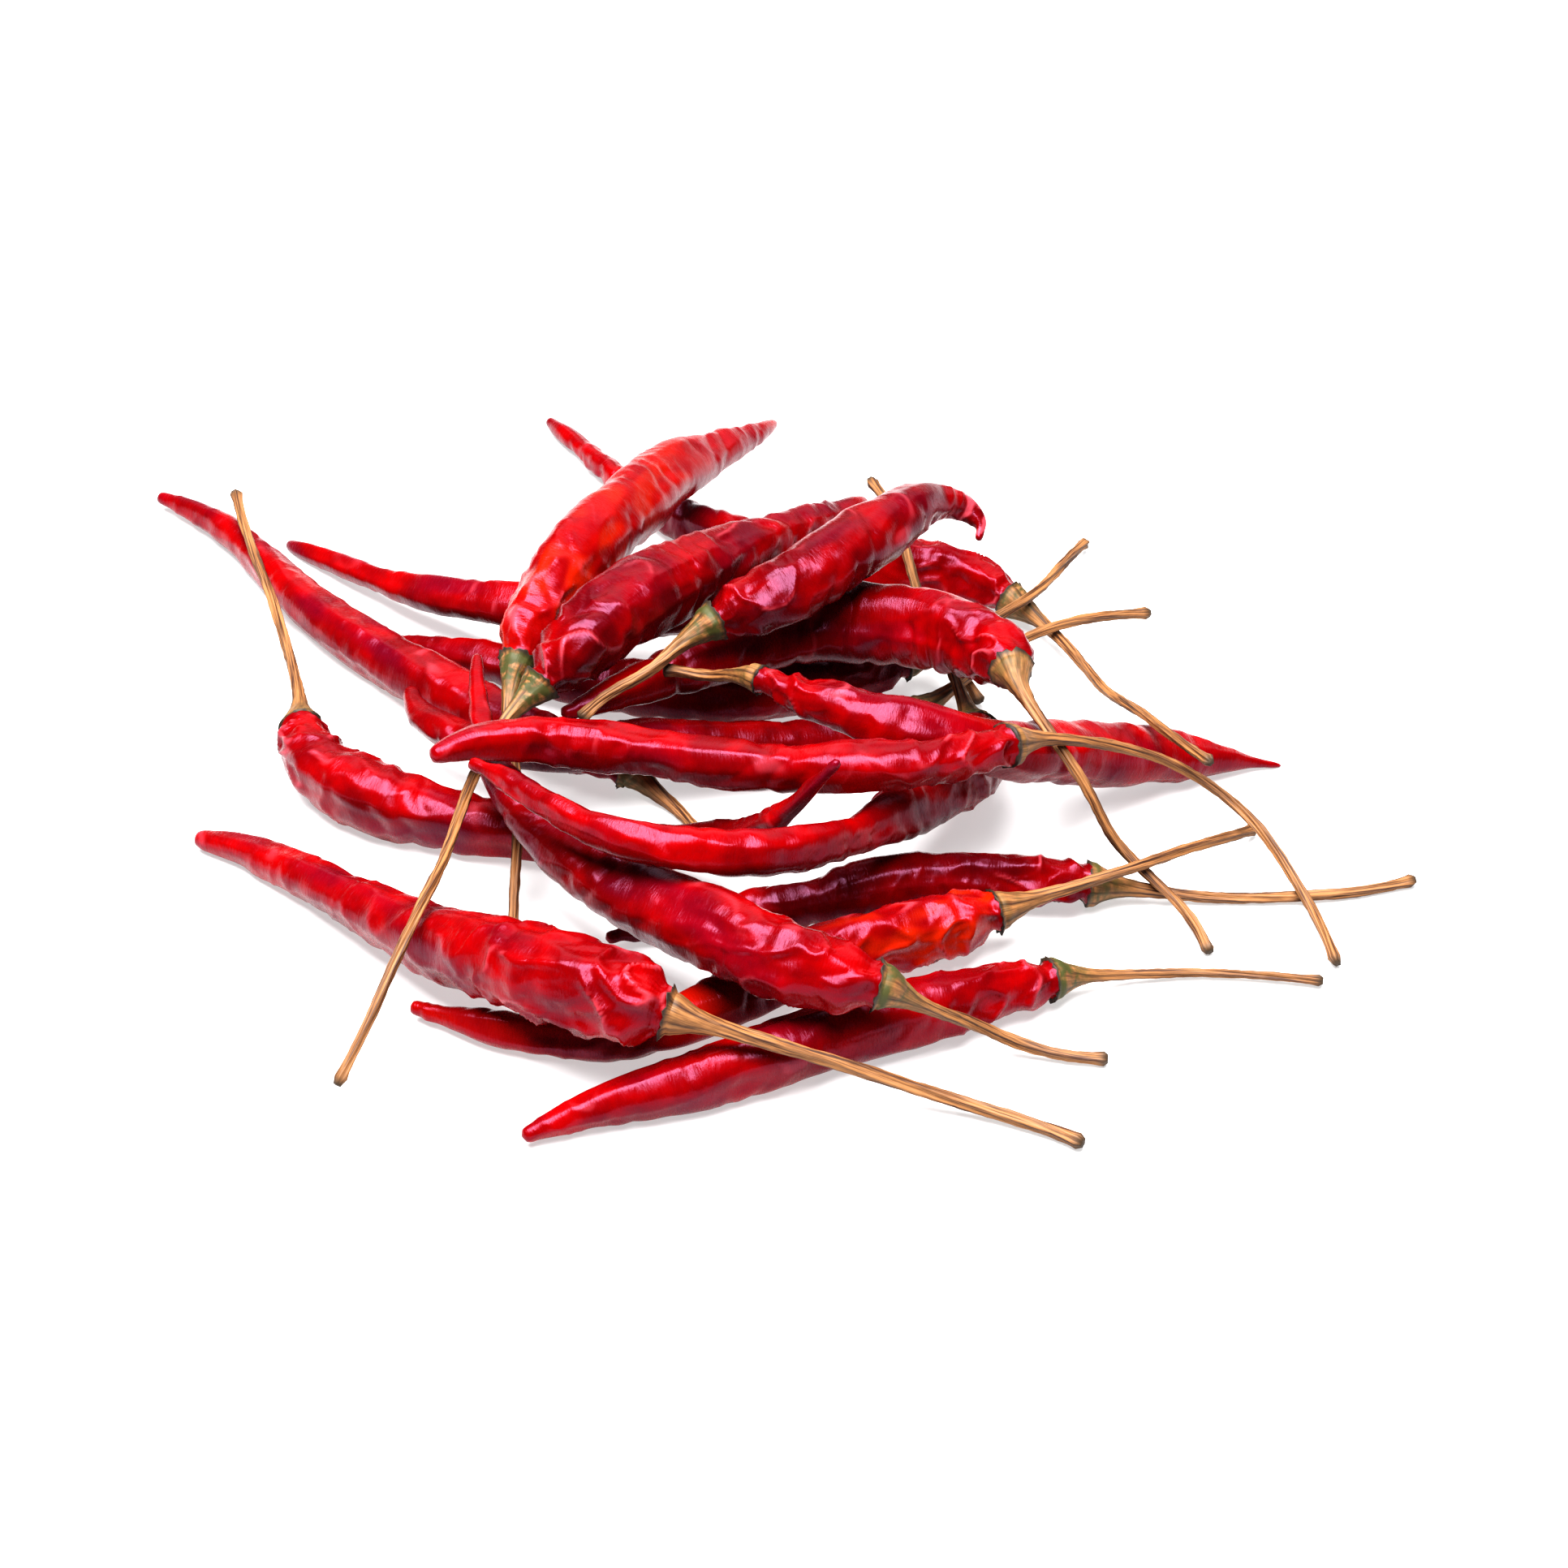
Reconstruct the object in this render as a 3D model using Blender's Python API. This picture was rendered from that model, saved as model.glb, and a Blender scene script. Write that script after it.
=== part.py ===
"""A loose heap of eighteen dried red chillies, each a wrinkled pod with its calyx and stalk.

Lengths in the tables are millimetres and directions are degrees, 0 along +X and 90 along +Y.
"""
import bmesh
import bpy
import numpy as np

MM = 0.001

# How finely each chilli is made: sides round it, and stretches along its middle line
POD_SIDES = 12
POD_STEPS = 20
POD_CROWDING = 1.25
STALK_SIDES = 7
STALK_STEPS = 13
STALK_CROWDING = 1.5

# Pods are this much rounder than the widths below, because their skin is cut inward from that.
# The blunt shoulder behind the calyx, how quickly it widens, and the room it is given.
ROUNDNESS = 1.09
SHOULDER_LENGTH = 2.2
SHOULDER_ROOM = 0.35

# Stalk and calyx
STALK_RADIUS = 0.75
CALYX_LENGTH = 3.4
CALYX_FLARE = 1.04
KNOB_SWELL = 0.25
KNOB_LENGTH = 1.5

# Dried skin: broad lengthwise folds and a few dents, all cut inward from the round outline
FOLDS = 3
FOLD_DEPTH = 0.09
FOLD_TWIST = 1.6
DENTS = 6
DENT_DEPTH = 0.14
TIP_CLOSING = 24

# The heap: clearance between neighbours, flat spots where pods rest, rounds of easing apart
GAP = 0.3
NECK_GAP = 0.3
NECK_SOFTENING = 4
REST_FLAT = 0.2
ROUNDS = 260
NEIGHBOUR_EVERY = 12
HEAP_CENTRE = (-4.6, 17.2)

# In laying order, lowest first. "way" is the direction of the middle line and "high" its height,
# at evenly spaced stations from neck to tip; "width" is the pod's width there, and "rim" its width
# right at the calyx. The stalk leaves the neck straight back and passes through its own stations
# to its cut end; "stem" is its radius where it isn't the usual one.
CHILLIES = {
    # under everything at the back, its tip out to the left
    "01": dict(skin="dark", neck=(18, 32.5), length=80, way=(204, 198, 173, 161, 155, 149),
               high=(4, 4.5, 4, 3, 1.5), width=(8.5, 9.5, 8.5, 8, 6, 2), rim=4.6,
               stalk=45.5, stalk_way=(403, 428, 425), stalk_high=(6.5, 4.5, 1)),
    # along the back edge
    "02": dict(skin="red", neck=(33.5, 48), length=91, way=(137, 172, 155, 136, 123, 122),
               high=(3.5, 5, 3.5, 2.5, 1), width=(8.5, 10, 9, 7, 4.5, 3), rim=5,
               stalk=62.5, stalk_way=(286, 289, 297), stalk_high=(3, 11, 16.5)),
    # back left, leaning over the first
    "03": dict(skin="red", neck=(8, 34.5), length=94, way=(-181, -181, -203, -222, -225),
               high=(12.5, 13.5, 10.5, 5, 0.5), width=(8, 9.5, 8.5, 6.5, 4, 3), rim=4.6,
               stalk=24.5, stalk_way=(-17, -19, -59), stalk_high=(9.5, 5.5, 1)),
    # right front, flat on the surface
    "04": dict(skin="dark", neck=(41, -16.5), length=65.5, way=(-176, -179, -166, -175, -159),
               high=(3.5, 4.5, 4, 3, 1.5), width=(8, 8.5, 8.5, 7.5, 5.5, 3), rim=5.8,
               stalk=44.5, stalk_way=(0, 6, 22), stalk_high=(1, 1, 1)),
    # front middle, orange toward its neck
    "05": dict(skin="orange", neck=(28, -24.5), length=83.5, way=(-161, -162, -142, -191, -207),
               high=(6, 4.5, 4, 3, 2), width=(10.5, 10.5, 9.2, 7.5, 5.5, 3.5), rim=6,
               stalk=44.5, stalk_way=(26, 40, 48), stalk_high=(7, 5.5, 1)),
    # nearest at the front
    "06": dict(skin="red", neck=(35, -36), length=73.5, way=(-156, -158, -154, -162, -156),
               high=(3.5, 4.5, 4.5, 3.5, 1.5), width=(8, 9.5, 9, 9, 6.5, 3.5), rim=5.4, stem=0.62,
               stalk=36.5, stalk_way=(12, -4, -9), stalk_high=(1, 1, 1)),
    # left, its tip hooking up in the middle of the heap
    "07": dict(skin="red", neck=(-67, 17), length=100.5, way=(-84, -32, -10, -18, -41, -7),
               high=(4.5, 5.5, 4, 4, 14.5, 30.5), width=(9.5, 11, 8, 6.5, 5, 2.5), rim=6,
               stalk=55.5, stalk_way=(104, 109, 103), stalk_high=(3.5, 6, 7.5)),
    # far left, long and thin
    "08": dict(skin="red", neck=(-21.5, 7.5), length=102.5, way=(161, 139, 133, 122, 148),
               high=(3, 4.5, 3.5, 3, 2), width=(8, 9, 8.5, 7, 5.5, 3.5), rim=5,
               stalk=18.5, stalk_way=(318, 301, 308), stalk_high=(1, 1, 1)),
    # across the middle, its hooked tip on the left
    "09": dict(skin="dark", neck=(18.5, 21.5), length=83, way=(-138, -163, -171, -197, -266),
               high=(3, 5, 10, 9.5, 7.5), width=(7.5, 8.5, 8, 7, 6, 4), rim=4.6,
               stalk=44, stalk_way=(46, 34, 17), stalk_high=(4.5, 3.5, 1)),
    # up and over the left side, bright orange red
    "10": dict(skin="orange", neck=(-36.5, 13.5), length=87.5, way=(75, 64, 70, 59, 66),
               high=(18, 22, 18.5, 13, 6.5), width=(9, 11, 10.5, 9.5, 6, 2.5), rim=4.8,
               stalk=42, stalk_way=(280, 268, 271), stalk_high=(12, 7, 1)),
    # the widest, front left
    "11": dict(skin="red", neck=(-14, -53.5), length=84.5, way=(166, 144, 134, 137, 153),
               high=(12.5, 12, 7, 4, 1.5), width=(14, 14, 11, 8.5, 6, 4.5), rim=7.4, stem=0.92,
               stalk=55, stalk_way=(359, 347, 326), stalk_high=(7.5, 1.5, 1)),
    # the middle, curving up to the back
    "12": dict(skin="red", neck=(12.5, -50), length=94, way=(175, 140, 139, 126, 106, 89),
               high=(14.5, 14, 12, 12, 13.5, 15), width=(10.5, 11.8, 10, 7.8, 4.5, 2.5), rim=6.2, stem=0.8,
               stalk=34, stalk_way=(388, 349, 356), stalk_high=(7.5, 1.5, 1)),
    # right of the middle, bent over at its neck
    "13": dict(skin="red", neck=(30.5, 8), length=77.5, way=(97, 139, 178, 215, 216, 209),
               high=(21.5, 17, 15.5, 16, 17, 17), width=(10, 11.5, 11.5, 10, 7, 3.5), rim=5.6,
               stalk=51.5, stalk_way=(311, 326, 284), stalk_high=(18, 5.5, 1)),
    # down to the right
    "14": dict(skin="red", neck=(-3.5, 1.5), length=84.5, way=(-37, -7, 38, 22, 7),
               high=(25, 23, 14.5, 5.5, 0), width=(6, 8, 7.5, 9.5, 8, 1), rim=3.8,
               stalk=17, stalk_way=(128, 157, 186), stalk_high=(22.5, 20, 20.5)),
    # top left, its stalk down the front
    "15": dict(skin="dark", neck=(-32.5, 2.5), length=68.5, way=(44, 52, 48, 46, 56),
               high=(22, 25.5, 23.5, 21, 17.5), width=(10, 12, 11.5, 9.5, 7, 3), rim=5.6,
               stalk=69.5, stalk_way=(259, 251, 240), stalk_high=(14.5, 15, 4.5)),
    # curled like a letter U round the middle
    "16": dict(skin="red", neck=(26.5, 15), length=106, way=(-79, -121, -119, -144, -183, -224, -219),
               high=(4.5, 10.5, 16, 20.5, 21.5, 20.5), width=(9.5, 11, 6, 6.5, 5, 3.5), rim=5.8,
               stalk=54.5, stalk_way=(109, 98, 117), stalk_high=(8, 10.5, 11.5)),
    # top, its pale tip hooked back
    "17": dict(skin="dark", neck=(-10, 14), length=54, way=(33, 18, 42, 50, 52, 54, 10, -120),
               high=(24, 26.5, 27, 26, 21), width=(9, 10, 10.2, 10, 9.8, 8.2, 5, 1.8), rim=5.6,
               stalk=22.5, stalk_way=(225, 199, 226), stalk_high=(23, 20.5, 17.5)),
    # on top of all, straight across the front
    "18": dict(skin="red", neck=(29.5, -11.5), length=80, way=(-139, -183, -196, -190, -140),
               high=(24.5, 24.5, 21.5, 21, 22), width=(7.2, 7.5, 7, 7, 7.5, 4), rim=5.8,
               stalk=68.5, stalk_way=(15, -57, -79), stalk_high=(14.5, 4.5, 1)),
}

# Linear colours and roughness
SKINS = {
    "red": ((0.42, 0.010, 0.014, 1), 0.32),
    "dark": ((0.24, 0.006, 0.014, 1), 0.34),
    "orange": ((0.56, 0.040, 0.012, 1), 0.34),
}
STALK_LOOK = ((0.42, 0.27, 0.11, 1), 0.7)


def eased(stations, share):
    """A smooth curve through evenly spaced stations, read at shares 0 to 1 of its length."""
    stations = np.asarray(stations, float)
    ends = 2 * stations[0] - stations[1], 2 * stations[-1] - stations[-2]
    padded = np.concatenate([[ends[0]], stations, [ends[1]]])
    along = np.clip(np.asarray(share, float), 0, 1) * (len(stations) - 1)
    first = np.minimum(along.astype(int), len(stations) - 2)
    part = along - first
    if stations.ndim > 1:
        part = part[:, None]
    a, b, c, d = (padded[first + k] for k in range(4))
    return b + 0.5 * part * (c - a + part * (2 * a - 5 * b + 4 * c - d + part * (3 * (b - c) + d - a)))


def pod_radius(chilli, share):
    distance = np.asarray(share) * chilli["length"]
    closing = np.sqrt(1 - 0.9 * np.asarray(share) ** TIP_CLOSING)
    shoulder = 1 - np.exp(-(distance / SHOULDER_LENGTH) ** 1.3)
    width = chilli["rim"] + (ROUNDNESS * eased(chilli["width"], share) - chilli["rim"]) * shoulder
    return 0.5 * width * closing


def stalk_radius(chilli, share):
    """The calyx bell at the neck, the thin stalk, and the small knob at its end."""
    distance = np.asarray(share) * chilli["stalk"]
    rim = 0.5 * chilli["rim"] * CALYX_FLARE
    stem = chilli.get("stem", STALK_RADIUS)
    bell = (rim - stem) * np.exp(-(distance / CALYX_LENGTH) ** 1.4)
    knob = KNOB_SWELL * np.exp(-((chilli["stalk"] - distance) / KNOB_LENGTH) ** 2)
    return stem + bell + knob


def walk(start, ways, heights, length):
    """Points of one middle line, from its directions and heights."""
    step = length / (len(ways) - 1)
    rise = np.diff(heights)
    flat = np.sqrt(np.maximum(step ** 2 - rise ** 2, (0.25 * step) ** 2))
    way = np.radians(0.5 * (ways[1:] + ways[:-1]))
    points = np.zeros((len(ways), 3))
    points[1:, 0] = np.cumsum(flat * np.cos(way))
    points[1:, 1] = np.cumsum(flat * np.sin(way))
    points[:, :2] += np.subtract(start, HEAP_CENTRE)
    points[:, 2] = heights
    return points


def middle_line(chilli):
    """One chilli's middle line from the stalk's cut end through the neck to the tip, with radii."""
    pod_share = np.linspace(0, 1, POD_STEPS + 1)
    stalk_share = np.linspace(0, 1, STALK_STEPS + 1)
    pod = walk(chilli["neck"], eased(chilli["way"], pod_share),
               eased(chilli["high"], pod_share), chilli["length"])
    back = chilli["way"][0] + 180
    stalk = walk(chilli["neck"], eased([back, *chilli["stalk_way"]], stalk_share),
                 eased([chilli["high"][0], *chilli["stalk_high"]], stalk_share), chilli["stalk"])
    line = np.vstack([stalk[:0:-1], pod])
    for _ in range(NECK_SOFTENING):
        line[1:-1, 2] = 0.25 * (line[:-2, 2] + 2 * line[1:-1, 2] + line[2:, 2])
    radii = np.append(stalk_radius(chilli, stalk_share[:0:-1]), pod_radius(chilli, pod_share))
    radii[STALK_STEPS] += 0.5 * SHOULDER_ROOM * (chilli["width"][0] - chilli["rim"])
    return line, radii


def nearest(a0, a1, b0, b1):
    """Where stretches a and b come closest, as shares along each."""
    u, v, w = a1 - a0, b1 - b0, a0 - b0
    uu, uv, vv = (np.sum(p * q, axis=1) for p, q in ((u, u), (u, v), (v, v)))
    uw, vw = np.sum(u * w, axis=1), np.sum(v * w, axis=1)
    across = np.maximum(uu * vv - uv * uv, 1e-9)
    on_a = np.clip((uv * vw - vv * uw) / across, 0, 1)
    on_b = np.clip((uv * on_a + vw) / vv, 0, 1)
    return np.clip((uv * on_b - uw) / uu, 0, 1), on_b


def ease_apart(lines, radii):
    """Push neighbouring chillies apart until none touch, keeping each one's bends smooth."""
    owner = np.repeat(np.arange(len(lines)), [len(line) for line in lines])
    drawn = np.vstack(lines)
    place = drawn.copy()
    radius = np.concatenate(radii)
    stretch = np.flatnonzero(owner[1:] == owner[:-1])
    first, second = (stretch[k] for k in np.triu_indices(len(stretch), 1))
    apart = owner[first] != owner[second]
    first, second = first[apart], second[apart]
    for turn in range(ROUNDS):
        if turn % NEIGHBOUR_EVERY == 0:
            a, b = close_stretches(place, radius, first, second)
        on_a, on_b = nearest(place[a], place[a + 1], place[b], place[b + 1])
        at_a = place[a] + on_a[:, None] * (place[a + 1] - place[a])
        at_b = place[b] + on_b[:, None] * (place[b + 1] - place[b])
        reach_a = radius[a] + on_a * (radius[a + 1] - radius[a])
        reach_b = radius[b] + on_b * (radius[b + 1] - radius[b])
        between = at_a - at_b
        distance = np.maximum(np.linalg.norm(between, axis=1), 1e-6)
        overlap = np.maximum(reach_a + reach_b + GAP - distance, 0)
        push = (0.5 * overlap / distance)[:, None] * between
        move = np.zeros_like(place)
        load = np.zeros(len(place))
        for point, weight, shift in ((a, 1 - on_a, push), (a + 1, on_a, push),
                                     (b, 1 - on_b, -push), (b + 1, on_b, -push)):
            np.add.at(move, point, weight[:, None] * shift)
            np.add.at(load, point, weight * (overlap > 0))
        place += 1.2 * move / np.maximum(load, 1)[:, None]
        place[:, 2] = np.maximum(place[:, 2], radius - REST_FLAT)
        stiff = 0.5 * (1 - turn / ROUNDS)
        for k in range(len(lines)):
            own = owner == k
            bend = place[own] - drawn[own]
            even = np.vstack([bend[1], 0.5 * (bend[:-2] + bend[2:]), bend[-2]])
            place[own] += stiff * (even - bend)
    return [place[owner == k] for k in range(len(lines))]


def close_stretches(place, radius, first, second):
    """The pairs of stretches near enough to touch soon."""
    middle = 0.5 * (place[first] + place[first + 1] - place[second] - place[second + 1])
    reach = 2.0
    for k in (first, second):
        half = 0.5 * np.linalg.norm(place[k + 1] - place[k], axis=1)
        reach = reach + half + np.maximum(radius[k], radius[k + 1])
    near = np.sum(middle ** 2, axis=1) < reach ** 2
    return first[near], second[near]


def skin_relief(number, share, angle):
    """Share of the full radius that the dried skin keeps: folds along the pod, and dents."""
    chance = np.random.default_rng(number)
    turned = angle - chance.uniform(0, 2 * np.pi) - FOLD_TWIST * chance.uniform(-1, 1) * share
    ends = np.clip(share / 0.15, 0, 1) * np.clip((1 - share) / 0.1, 0, 1)
    keep = 1 - FOLD_DEPTH * ends * (0.5 - 0.5 * np.cos(FOLDS * turned)) ** 2
    for dent in range(DENTS):
        middle = (dent + chance.uniform(0.2, 0.8)) / DENTS
        side = chance.uniform(0, 2 * np.pi)
        round_it = 1 - np.cos(angle - side)
        keep -= DENT_DEPTH * chance.uniform(0.3, 1) * ends * np.exp(
            -((share - middle) / 0.05) ** 2 - round_it / 0.25)
    return keep


def tube_mesh(name, sides, steps):
    """A closed cylinder of radius 1 from z 0 to 1, cut into even steps along its length."""
    shape = bmesh.new()
    bmesh.ops.create_cone(shape, cap_ends=True, segments=sides, radius1=1, radius2=1, depth=1)
    bmesh.ops.translate(shape, verts=shape.verts, vec=(0, 0, 0.5))
    long_edges = [e for e in shape.edges if abs(e.verts[0].co.z - e.verts[1].co.z) > 0.5]
    bmesh.ops.subdivide_edges(shape, edges=long_edges, cuts=steps - 1, use_grid_fill=True)
    mesh = bpy.data.meshes.new(name)
    shape.to_mesh(mesh)
    shape.free()
    return mesh


def bend_along(mesh, line, start, end, radius_at, crowding=1.0):
    """Bend the cylinder along a middle line, from one place on it to another.

    The end at the neck is cut square to the line at the neck itself, so that the pod and the
    calyx meet face to face.
    """
    corners = np.empty(3 * len(mesh.vertices))
    mesh.vertices.foreach_get("co", corners)
    corners = corners.reshape(-1, 3)
    share = np.clip(corners[:, 2], 0, 1) ** crowding
    angle = np.arctan2(corners[:, 1], corners[:, 0])
    steps = len(line) - 1
    along = (start + (end - start) * share) / steps
    facing = np.where(share == 0, STALK_STEPS / steps, along)
    ahead = eased(line, facing + 0.02 / steps) - eased(line, facing - 0.02 / steps)
    ahead /= np.linalg.norm(ahead, axis=1)[:, None]
    across = np.cross((0, 0, 1), ahead)
    across /= np.linalg.norm(across, axis=1)[:, None]
    upward = np.cross(ahead, across)
    ring = np.cos(angle)[:, None] * across + np.sin(angle)[:, None] * upward
    placed = eased(line, along) + radius_at(share, angle)[:, None] * ring
    placed[:, 2] = np.maximum(placed[:, 2], 0)
    mesh.vertices.foreach_set("co", (placed * MM).ravel())


def finish(mesh, collection, material):
    """Face the mesh outwards, shade it smooth and put it in the heap."""
    shape = bmesh.new()
    shape.from_mesh(mesh)
    bmesh.ops.recalc_face_normals(shape, faces=shape.faces)
    shape.to_mesh(mesh)
    shape.free()
    mesh.shade_smooth()
    mesh.materials.append(material)
    collection.objects.link(bpy.data.objects.new(mesh.name, mesh))


def make_pod(number, chilli, line, collection, material):
    mesh = tube_mesh("pod_" + number, POD_SIDES, POD_STEPS)
    inset = 0.5 * NECK_GAP * POD_STEPS / chilli["length"]

    def radius_at(share, angle):
        return pod_radius(chilli, share) * skin_relief(int(number), share, angle)

    bend_along(mesh, line, STALK_STEPS + inset, STALK_STEPS + POD_STEPS, radius_at, POD_CROWDING)
    finish(mesh, collection, material)


def make_stalk(number, chilli, line, collection, material):
    mesh = tube_mesh("stalk_" + number, STALK_SIDES, STALK_STEPS)
    inset = 0.5 * NECK_GAP * STALK_STEPS / chilli["stalk"]

    def radius_at(share, angle):
        return stalk_radius(chilli, share)

    bend_along(mesh, line, STALK_STEPS - inset, 0, radius_at, STALK_CROWDING)
    finish(mesh, collection, material)


def make_material(name, look):
    material = bpy.data.materials.new(name)
    material.use_nodes = True
    shader = material.node_tree.nodes["Principled BSDF"]
    shader.inputs["Base Color"].default_value = look[0]
    shader.inputs["Roughness"].default_value = look[1]
    shader.inputs["Metallic"].default_value = 0.0
    return material


def main():
    for leftover in list(bpy.data.objects):
        bpy.data.objects.remove(leftover)
    heap = bpy.data.collections.new("dried_chilli_heap")
    bpy.context.scene.collection.children.link(heap)
    skins = {name: make_material(name + "_skin", look) for name, look in SKINS.items()}
    stalk_material = make_material("dry_stalk", STALK_LOOK)
    drawn, radii = zip(*(middle_line(chilli) for chilli in CHILLIES.values()))
    lines = ease_apart(drawn, radii)
    for (number, chilli), line in zip(CHILLIES.items(), lines):
        make_pod(number, chilli, line, heap, skins[chilli["skin"]])
        make_stalk(number, chilli, line, heap, stalk_material)


main()
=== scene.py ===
import math
import bmesh
import bpy
import numpy as np
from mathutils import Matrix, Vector, noise


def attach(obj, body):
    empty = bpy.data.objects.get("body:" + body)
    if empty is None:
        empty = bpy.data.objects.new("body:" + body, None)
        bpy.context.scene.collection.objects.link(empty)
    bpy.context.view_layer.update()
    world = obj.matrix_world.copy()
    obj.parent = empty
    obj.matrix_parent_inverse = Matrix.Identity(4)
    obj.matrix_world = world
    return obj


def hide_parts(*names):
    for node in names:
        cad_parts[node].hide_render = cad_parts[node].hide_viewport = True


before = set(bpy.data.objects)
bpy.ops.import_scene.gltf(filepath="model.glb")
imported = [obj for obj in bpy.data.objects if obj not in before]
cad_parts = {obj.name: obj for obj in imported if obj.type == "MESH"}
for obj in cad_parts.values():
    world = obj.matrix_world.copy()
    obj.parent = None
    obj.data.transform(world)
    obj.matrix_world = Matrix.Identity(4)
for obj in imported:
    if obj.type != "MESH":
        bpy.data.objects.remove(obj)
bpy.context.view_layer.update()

mm = 0.001

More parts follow.
